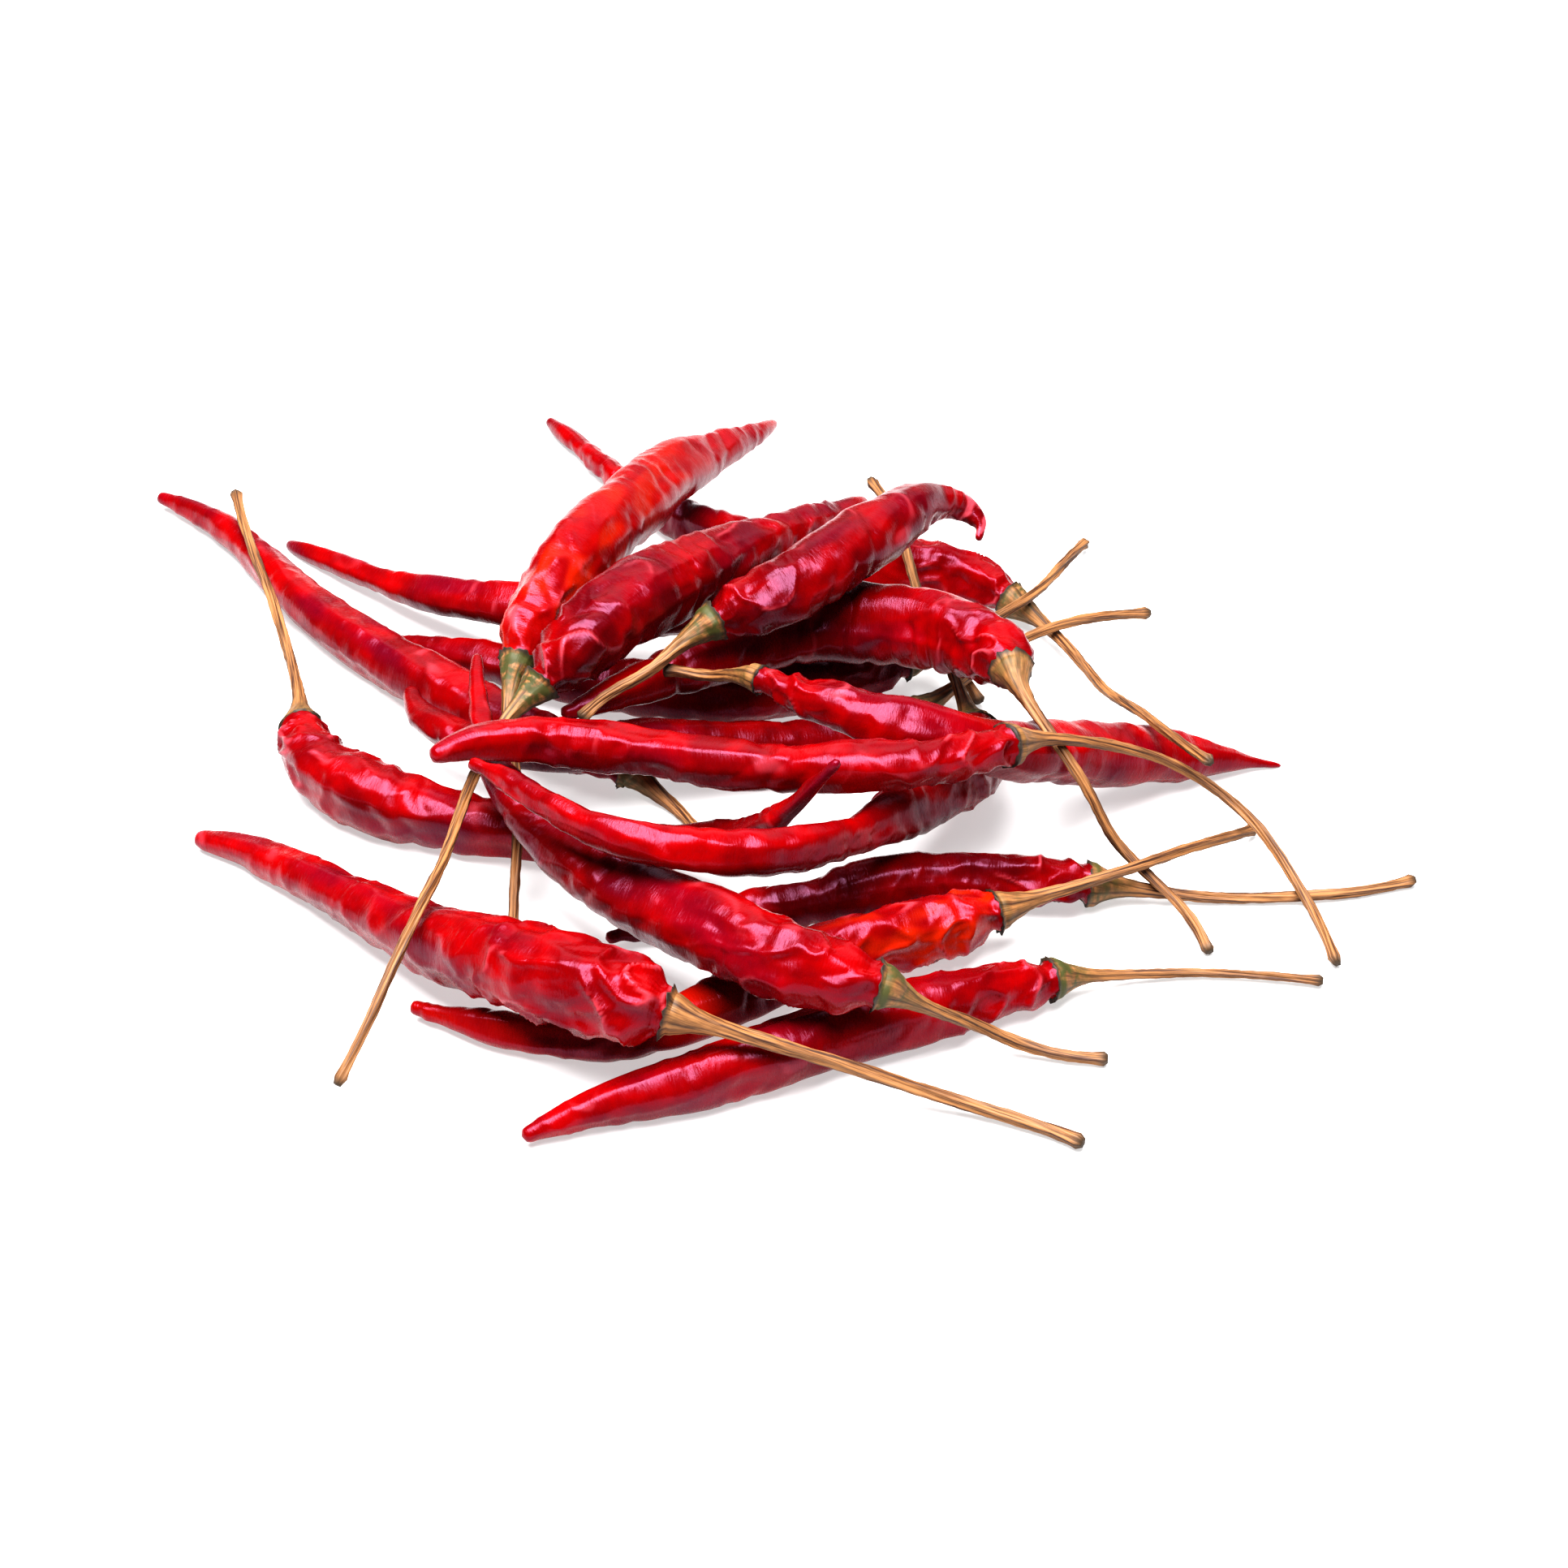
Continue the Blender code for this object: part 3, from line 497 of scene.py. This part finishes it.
def makeStalk(number, chilli, line, material):
    look = {**stalkLook, **chilli.get("stalkLook", {})}
    seed = int(number)
    shape = tube(look["sides"], look["steps"])
    share, angle = readTube(shape)
    hemRings = look["hemRings"]
    ring = np.round(share * look["steps"])
    onPod = ring < hemRings
    behind = np.clip((ring - hemRings) / (look["steps"] - hemRings), 0, 1) ** look["crowding"]
    rounding = np.column_stack([np.cos(angle), np.sin(angle), np.zeros_like(angle)])
    tooth = 0.5 + 0.5 * np.cos(look["teeth"] * angle + 2 * noiseAt(rounding, seed)) ** 2
    tooth = look["overlap"] * (0.35 + 0.65 * tooth) * (1 + 0.5 * noiseAt(3 * rounding, seed + 0.4))
    hem = np.clip((hemRings - ring) / (hemRings - 1), 0, 1)
    distance = np.where(onPod, -tooth * hem, behind * chilli["stalk"])

    onStalk = np.maximum(distance, 0)
    radius = stalkRadius(chilli, onStalk / chilli["stalk"])
    radius += look["taper"] * np.exp(-onStalk / look["taperLength"]) * (1 - np.exp(-(onStalk / 4) ** 2))
    podShare = np.maximum(-distance, 0) / chilli["length"]
    shoulder = podRadius(chilli, podShare) + look["rimThickness"] * (1 - 0.4 * hem)
    blend = smooth(1.2, -0.2, distance)
    radius = radius * (1 - blend) + np.maximum(shoulder, radius) * blend
    radius = np.where(ring == 0, shoulder - 0.9, radius)
    calyx = np.exp(-(onStalk / look["calyxReach"]) ** 2)
    turned = angle + look["ribTwist"] * onStalk + seed
    place = np.column_stack([1.3 * np.cos(turned), 1.3 * np.sin(turned), distance])
    rib = look["ribDepth"] * (0.5 - 0.5 * np.cos(look["ribs"] * turned)) * (1 - calyx)
    calyxTurn = turned + 0.5 * noiseAt(place / (1.6, 1.6, 3), seed + 0.3)
    rib += look["calyxDepth"] * (0.5 - 0.5 * np.cos(look["calyxRibs"] * calyxTurn)) * calyx
    rough = noiseAt(place / (0.9, 0.9, 5), seed + 0.8) + 0.8 * noiseAt(place / (0.7, 0.7, 1.2), seed + 0.9)
    radius = radius - rib + look["roughness"] * rough
    atEnd = smooth(look["endLength"], 0, chilli["stalk"] - onStalk)
    radius = np.where(ring == look["steps"], 0.55 * radius, radius)

    steps, neck = len(line) - 1, heap["stalkSteps"]
    along = np.where(distance > 0, neck - distance / chilli["stalk"] * neck,
                     neck + podShare * heap["podSteps"]) / steps
    placed = bendAlong(line, along, along, angle, radius)
    hemTone = smooth(-0.15, -0.8 * look["overlap"], distance)
    tone = np.column_stack([calyx * look["green"] * 2, np.clip(hemTone, 0, 1), atEnd])
    finishPiece("chilliStalk" + number, shape, placed, dict(alongStalk=place, stalkTone=tone),
                material, "stalk_" + number)


def linear(code):
    channels = [int(code[k:k + 2], 16) / 255 for k in (1, 3, 5)]
    return (*(c / 12.92 if c <= 0.04045 else ((c + 0.055) / 1.055) ** 2.4 for c in channels), 1)


def addNode(tree, kind, settings=None, links=None):
    # Adds one node; settings go to its inputs or its own options, and links are socket by socket
    node = tree.nodes.new(kind)
    for key, value in (settings or {}).items():
        if isinstance(key, int) or key in node.inputs:
            node.inputs[key].default_value = value
        else:
            setattr(node, key, value)
    for key, source in (links or {}).items():
        tree.links.new(source, node.inputs[key])
    return node


def newMaterial(name):
    material = bpy.data.materials.new(name)
    material.use_nodes = True
    tree = material.node_tree
    tree.nodes.clear()
    return material, tree


# Dried chilli skin: a thin waxy fruit skin that has shrunk. It is glossy but creased, so light
# breaks up into broad soft patches, and it is clear enough to glow where the flesh under it is thin.
# Its IOR is a little under that of wax, 1.45, because the fine creases take some of the gloss away.
# "gloss" is the roughness, and the sizes in skinDetail are mm.
# Near the neck, some of that glow is painted into the colour as the orange tone.
skins = {
    "red": dict(bright="#860002", deep="#640005", mauve="#4C0622", gloss=0.23),
    "dark": dict(bright="#780002", deep="#520005", mauve="#40061E", gloss=0.23),
    "orange": dict(bright="#8C0802", deep="#700003", mauve="#58081E", gloss=0.24),
}
# the orange is the pod's own colour near the neck, mixed with a painted glow of light through its thin skin
skinDetail = dict(crease="#BE525E", orange="#A42602", mottle=8.0, striaAround=1.4, striaAlong=0.28)


def driedChilliSkin(name):
    look = skins[name]
    material, tree = newMaterial("driedChilliSkin" + name.capitalize())
    along = addNode(tree, "ShaderNodeAttribute", dict(attribute_name="alongSkin")).outputs["Vector"]
    tone = addNode(tree, "ShaderNodeAttribute", dict(attribute_name="skinTone")).outputs["Vector"]
    tones = addNode(tree, "ShaderNodeSeparateXYZ", links={"Vector": tone}).outputs
    mottle = addNode(tree, "ShaderNodeTexNoise", dict(Scale=1 / skinDetail["mottle"], Detail=3.0,
                     Roughness=0.55), {"Vector": along})
    spread = addNode(tree, "ShaderNodeMapRange", {"From Min": 0.38, "From Max": 0.62},
                     {"Value": mottle.outputs["Fac"]})
    base = addNode(tree, "ShaderNodeMix", {"data_type": "RGBA", 6: linear(look["deep"]),
                   7: linear(look["bright"])}, {0: spread.outputs["Result"]})
    # orange near the neck: the pod's own colour plus a painted glow of light through the skin
    orangeAndGlow = addNode(tree, "ShaderNodeMix", {"data_type": "RGBA", 7: linear(skinDetail["orange"])},
                   {0: tones["Y"], 6: base.outputs[2]})
    cool = addNode(tree, "ShaderNodeMix", {"data_type": "RGBA", 7: linear(look["mauve"])},
                   {0: tones["Z"], 6: orangeAndGlow.outputs[2]})
    pale = addNode(tree, "ShaderNodeMath", {"operation": "MULTIPLY", 1: 0.65}, {0: tones["X"]})
    colour = addNode(tree, "ShaderNodeMix", {"data_type": "RGBA", 7: linear(skinDetail["crease"])},
                     {0: pale.outputs[0], 6: cool.outputs[2]})
    stretch = addNode(tree, "ShaderNodeVectorMath", {"operation": "DIVIDE", 1: (skinDetail["striaAround"],
                      skinDetail["striaAround"], skinDetail["striaAlong"])}, {0: along})
    stria = addNode(tree, "ShaderNodeTexNoise", dict(Scale=1.0, Detail=3.0, Roughness=0.6, Distortion=0.3),
                    {"Vector": stretch.outputs["Vector"]})
    gloss = addNode(tree, "ShaderNodeMapRange", {"From Min": 0.3, "From Max": 0.7,
                    "To Min": look["gloss"] - 0.06, "To Max": look["gloss"] + 0.1},
                    {"Value": stria.outputs["Fac"]})
    bump = addNode(tree, "ShaderNodeBump", dict(Strength=0.5, Distance=0.12 * mm),
                   {"Height": stria.outputs["Fac"]})
    shader = addNode(tree, "ShaderNodeBsdfPrincipled", {"IOR": 1.33, "Specular IOR Level": 0.56,
                     "Specular Tint": linear("#FFC0F0"), "Subsurface Weight": 0.05,
                     "Subsurface Scale": 1.0 * mm, "Subsurface Radius": (1.0, 0.1, 0.06)},
                     {"Base Color": colour.outputs[2], "Roughness": gloss.outputs["Result"],
                      "Normal": bump.outputs["Normal"]})
    addNode(tree, "ShaderNodeOutputMaterial", links={"Surface": shader.outputs[0]})
    return material


# Dry stalk and calyx: a woody, fibrous stem, ribbed lengthwise, tan with brown grooves, and
# still a little green at the calyx, whose papery hem has gone grey brown.
stalkColours = dict(tan="#91653C", brown="#3C1E0D", green="#3E3E16", hem="#2B2016", end="#403020")
stalkDetail = dict(fibreAround=0.35, fibreAlong=9.0, patchesPerMm=1.1)    # fibre sizes in mm


def dryStalk():
    look = stalkColours
    material, tree = newMaterial("dryChilliStalk")
    along = addNode(tree, "ShaderNodeAttribute", dict(attribute_name="alongStalk")).outputs["Vector"]
    tone = addNode(tree, "ShaderNodeAttribute", dict(attribute_name="stalkTone")).outputs["Vector"]
    tones = addNode(tree, "ShaderNodeSeparateXYZ", links={"Vector": tone}).outputs
    stretch = addNode(tree, "ShaderNodeVectorMath", {"operation": "DIVIDE", 1: (stalkDetail["fibreAround"],
                      stalkDetail["fibreAround"], stalkDetail["fibreAlong"])}, {0: along})
    fibre = addNode(tree, "ShaderNodeTexNoise", dict(Scale=1.0, Detail=4.0, Roughness=0.6),
                    {"Vector": stretch.outputs["Vector"]})
    spread = addNode(tree, "ShaderNodeMapRange", {"From Min": 0.38, "From Max": 0.58},
                     {"Value": fibre.outputs["Fac"]})
    wood = addNode(tree, "ShaderNodeMix", {"data_type": "RGBA", 6: linear(look["brown"]),
                   7: linear(look["tan"])}, {0: spread.outputs["Result"]})
    patch = addNode(tree, "ShaderNodeTexNoise", dict(Scale=stalkDetail["patchesPerMm"], Detail=3.0),
                    {"Vector": along})
    patchy = addNode(tree, "ShaderNodeMapRange", {"From Min": 0.35, "From Max": 0.6},
                     {"Value": patch.outputs["Fac"]})
    greenShare = addNode(tree, "ShaderNodeMath", {"operation": "MULTIPLY"},
                         {0: tones["X"], 1: patchy.outputs["Result"]})
    leafy = addNode(tree, "ShaderNodeMix", {"data_type": "RGBA", 7: linear(look["green"])},
                    {0: greenShare.outputs[0], 6: wood.outputs[2]})
    papery = addNode(tree, "ShaderNodeMix", {"data_type": "RGBA", 7: linear(look["hem"])},
                     {0: tones["Y"], 6: leafy.outputs[2]})
    colour = addNode(tree, "ShaderNodeMix", {"data_type": "RGBA", 7: linear(look["end"])},
                     {0: tones["Z"], 6: papery.outputs[2]})
    bump = addNode(tree, "ShaderNodeBump", dict(Strength=0.6, Distance=0.15 * mm),
                   {"Height": fibre.outputs["Fac"]})
    shader = addNode(tree, "ShaderNodeBsdfPrincipled", {"IOR": 1.5, "Roughness": 0.62},
                     {"Base Color": colour.outputs[2], "Normal": bump.outputs["Normal"]})
    addNode(tree, "ShaderNodeOutputMaterial", links={"Surface": shader.outputs[0]})
    return material


# The floor is a light table, a matt white acrylic sheet lit from below: shadows on it stay faint
room = dict(floorSize=20.0, floor="#B8B8B8", floorGlow=0.4, sky="#F4F6FF", skyStrength=0.1)


def makeFloor():
    shape = bmesh.new()
    bmesh.ops.create_grid(shape, x_segments=4, y_segments=4, size=0.5 * room["floorSize"])
    mesh = bpy.data.meshes.new("studioFloor")
    shape.to_mesh(mesh)
    shape.free()
    material, tree = newMaterial("lightTable")
    shader = addNode(tree, "ShaderNodeBsdfPrincipled", {"Base Color": linear(room["floor"]),
                     "Roughness": 0.9, "Specular IOR Level": 0.1, "Emission Color": linear("#FFFFFF"),
                     "Emission Strength": room["floorGlow"]})
    addNode(tree, "ShaderNodeOutputMaterial", links={"Surface": shader.outputs[0]})
    mesh.materials.append(material)
    floor = bpy.data.objects.new("studioFloor", mesh)
    bpy.context.scene.collection.objects.link(floor)


# Soft boxes: place and target in metres, size, watts
lights = {
    "overheadBox": dict(place=(-0.1, -0.12, 0.8), target=(0, 0, 0), size=(0.8, 0.55), power=25),
    "backBox": dict(place=(0.2, 0.9, 0.7), target=(0, 0, 0), size=(1.4, 0.7), power=3.5),
}


def makeLights():
    world = bpy.data.worlds.new("studioSky")
    bpy.context.scene.world = world
    world.use_nodes = True
    background = world.node_tree.nodes["Background"]
    background.inputs["Color"].default_value = linear(room["sky"])
    background.inputs["Strength"].default_value = room["skyStrength"]
    for name, look in lights.items():
        lamp = bpy.data.lights.new(name, "AREA")
        lamp.shape = "RECTANGLE"
        lamp.size, lamp.size_y = look["size"]
        lamp.energy = look["power"]
        holder = bpy.data.objects.new(name, lamp)
        holder.location = look["place"]
        facing = Vector(look["target"]) - Vector(look["place"])
        holder.rotation_euler = facing.to_track_quat("-Z", "Y").to_euler()
        bpy.context.scene.collection.objects.link(holder)


# From the front, looking down by so many degrees, in millimetres
viewpoint = dict(target=(4.6, -17.2, 8), down=38, distance=600, lens=101.64)
picture = dict(view="Standard", look="High Contrast")    # the white stays white and the reds full


def makeCamera():
    data = bpy.data.cameras.new("viewCamera")
    data.lens = viewpoint["lens"]
    data.sensor_width = 36
    data.sensor_fit = "HORIZONTAL"
    data.clip_start = 0.01
    camera = bpy.data.objects.new("viewCamera", data)
    down = math.radians(viewpoint["down"])
    back = Vector((0, -math.cos(down), math.sin(down))) * viewpoint["distance"]
    camera.location = (Vector(viewpoint["target"]) + back) * mm
    camera.rotation_euler = (math.pi / 2 - down, 0, 0)
    bpy.context.scene.collection.objects.link(camera)
    bpy.context.scene.camera = camera
    bpy.context.scene.view_settings.view_transform = picture["view"]
    bpy.context.scene.view_settings.look = picture["look"]


makeCamera()
makeLights()
makeFloor()
print("room ready")
skinMaterials = {name: driedChilliSkin(name) for name in skins}
stalkMaterial = dryStalk()
drawn, radii = zip(*(middleLine(chilli) for chilli in chillies.values()))
lines = easeApart(drawn, radii)
print("heap settled")
for (number, chilli), line in zip(chillies.items(), lines):
    chilli = {**chilli, "rim": chilli.get("shownRim", chilli["rim"])}
    makePod(number, chilli, line, skinMaterials[chilli["skin"]])
    makeStalk(number, chilli, line, stalkMaterial)
print("chillies made:", len(chillies))
